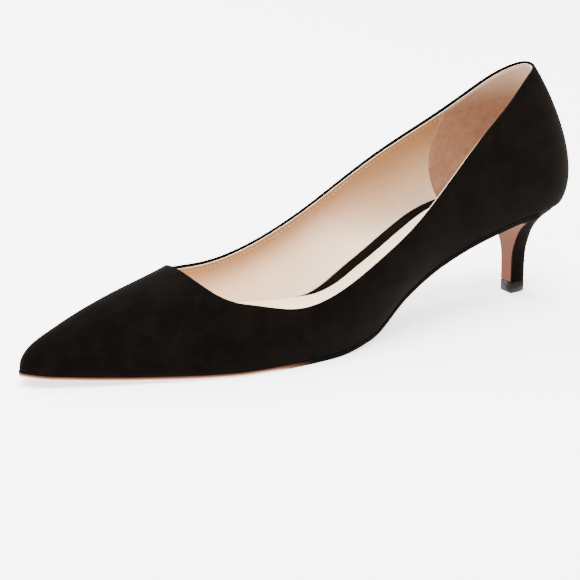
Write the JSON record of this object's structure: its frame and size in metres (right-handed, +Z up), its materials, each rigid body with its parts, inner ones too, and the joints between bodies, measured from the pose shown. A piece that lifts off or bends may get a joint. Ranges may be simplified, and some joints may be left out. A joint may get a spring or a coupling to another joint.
{
  "type": "kitten heel pump",
  "caption": "Pointed-toe slip-on pump with a low slender heel: hollow suede upper open at the collar, leather outsole, insole and sock.",
  "frame": {"origin": "middle of the shoe's outline on the floor it stands on", "axes": "+X towards the heel, so the toe points to -X; +Y towards the inner side of the foot, so the outer side faces -Y; +Z up"},
  "size_m": [0.2606, 0.0768, 0.1016],
  "materials": {
    "black_suede": "fine black suede with a short nap",
    "tan_leather": "smooth sole leather with a natural edge",
    "heel_suede": "black suede cover over a moulded core",
    "dark_rubber": "matt hard rubber",
    "insole_board": "board covered in black suede",
    "sock_leather": "smooth cream leather"
  },
  "bodies": {
    "root": {"upper": "black_suede", "outsole": "tan_leather", "heel": "heel_suede", "top_piece": "dark_rubber", "insole": "insole_board", "sock": "sock_leather"}
  },
  "joints": []
}
